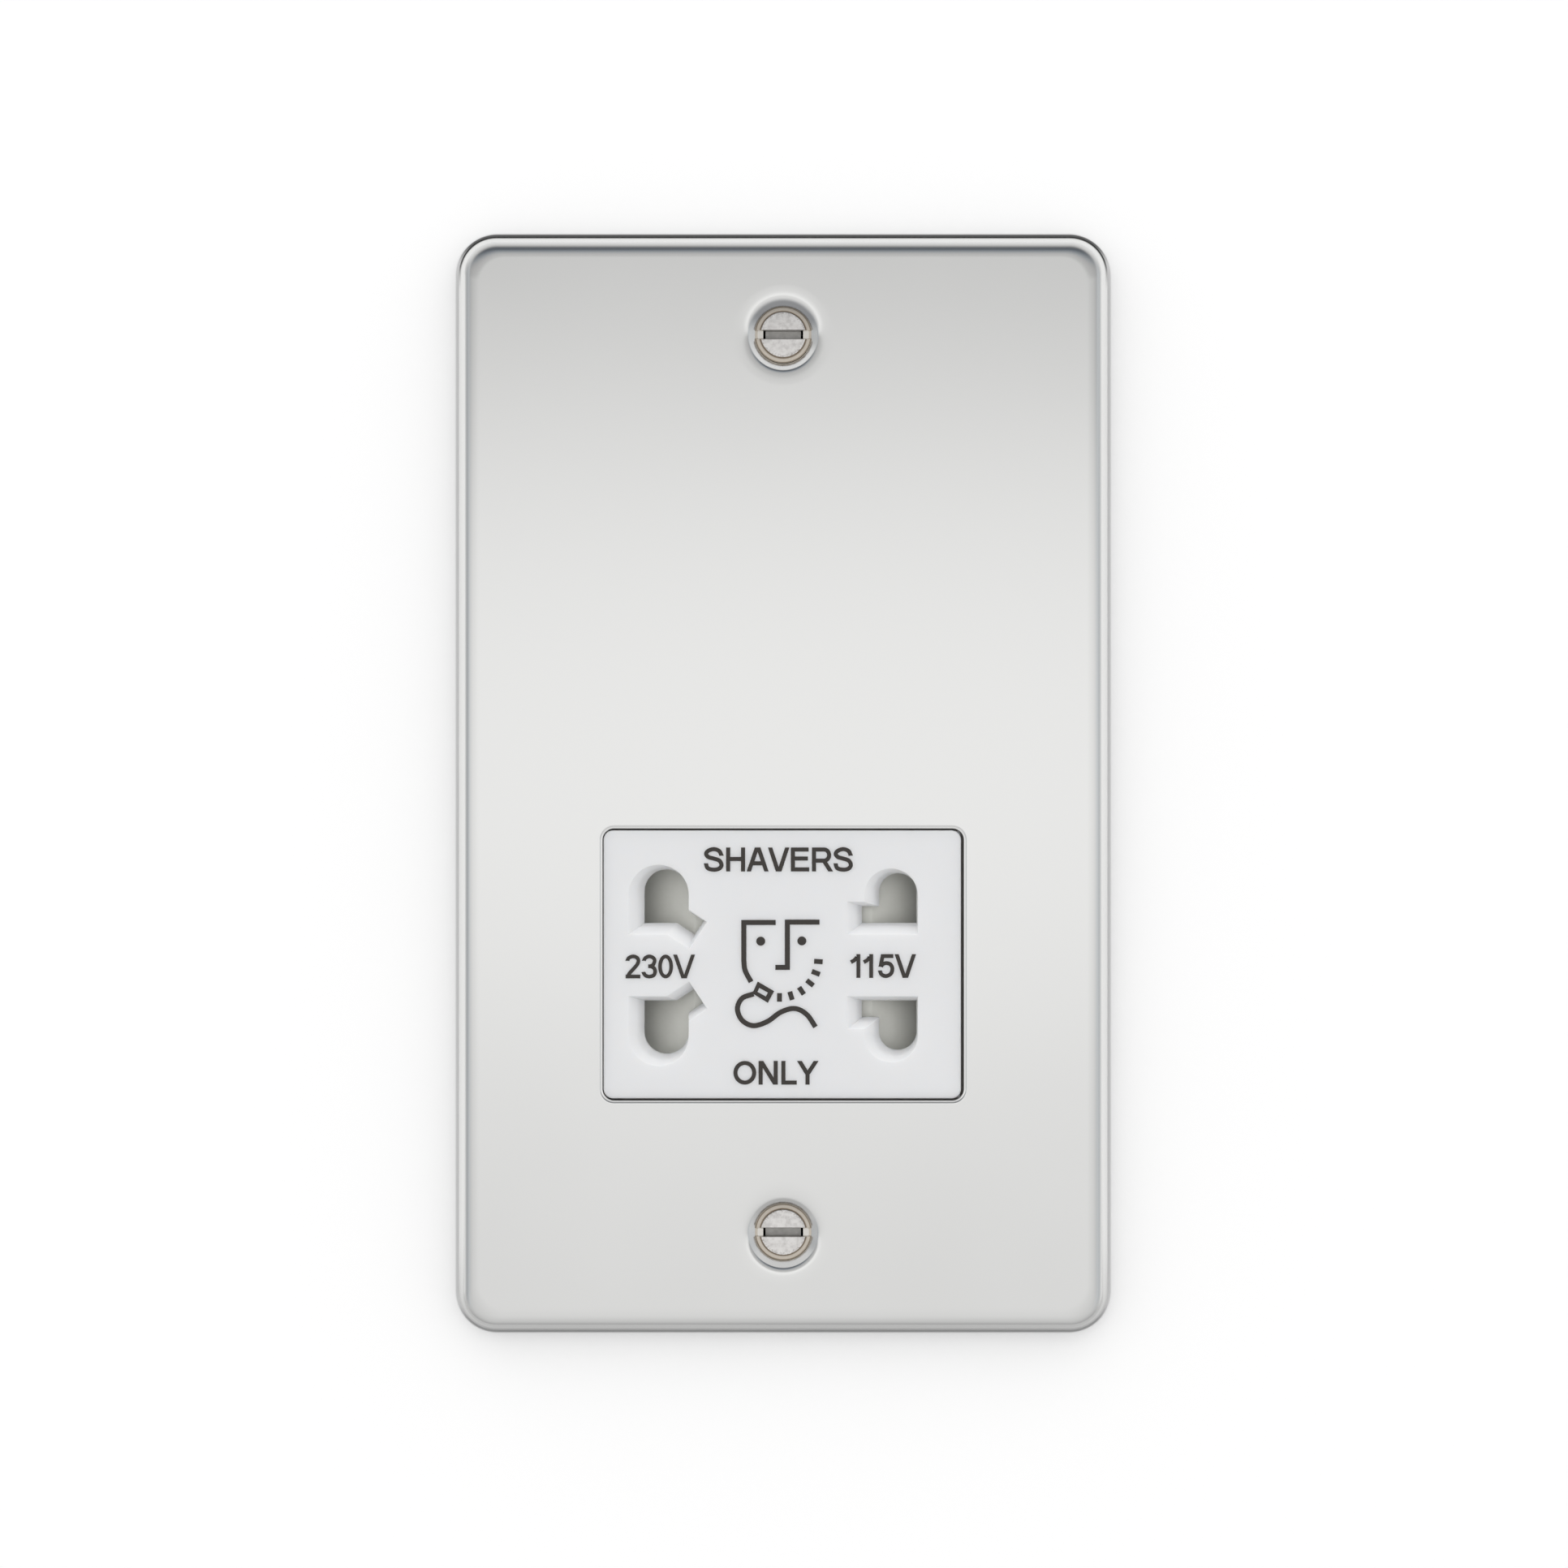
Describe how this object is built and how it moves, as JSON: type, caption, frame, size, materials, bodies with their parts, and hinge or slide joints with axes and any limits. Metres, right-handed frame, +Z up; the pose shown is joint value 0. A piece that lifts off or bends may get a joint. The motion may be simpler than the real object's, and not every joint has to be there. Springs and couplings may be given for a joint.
{
  "type": "shaver socket",
  "caption": "Dual-voltage wall shaver socket: satin metal plate, white insert with D-shaped pin holes, sliding shutter, and an isolating transformer in the rear housing.",
  "frame": {"origin": "on the wall plane at the rear rim of the plate, midway between the two fixing screws", "axes": "+X to the right seen from the front, +Z up, the front faces -Y and the housing lies on the +Y side of the wall plane"},
  "size_m": [0.0874, 0.0448, 0.1474],
  "materials": {
    "plate": "satin chrome plated",
    "insert": "white, satin gloss",
    "shutter": "pale grey",
    "spring": "drawn spring wire",
    "socket_body": "black moulding",
    "contact": "phosphor bronze strip",
    "small_screw": "zinc plated",
    "housing": "dark grey moulding",
    "core": "varnished laminations",
    "bobbin": "natural moulding",
    "winding": "enamelled copper wire, taped",
    "cutout": "pale sealed case",
    "terminal_block": "pale moulding",
    "brass": "bright brass",
    "fixing_screw": "nickel plated"
  },
  "bodies": {
    "housing": {"faceplate": "plate", "insert": "insert", "shutter_spring_left": "spring", "shutter_spring_right": "spring", "socket_body": "socket_body", "contact_230v_upper": "contact", "contact_230v_lower": "contact", "contact_115v_upper": "contact", "contact_115v_lower": "contact", "base_screws": "small_screw", "switch_leaf": "contact", "switch_contact": "contact", "carrier": "housing", "rear_cover": "housing", "housing_screws": "small_screw", "transformer_core": "core", "bobbin": "bobbin", "primary_winding": "winding", "secondary_winding": "winding", "thermal_cutout": "cutout", "terminal_block": "terminal_block", "terminal_live": "brass", "terminal_neutral": "brass", "terminal_earth": "brass", "terminal_screws": "small_screw", "earth_strap": "brass", "fixing_screw_upper": "fixing_screw", "fixing_screw_lower": "fixing_screw"},
    "shutter": {"shutter": "shutter"}
  },
  "joints": [
    {"name": "shutter_slide", "type": "slide", "parent": "housing", "child": "shutter", "axis": [1, 0, 0], "range_m": [-0.0065, 0.0065], "stiffness_N_per_m": 150, "deforming": ["shutter_spring_left", "shutter_spring_right", "switch_leaf"]}
  ]
}
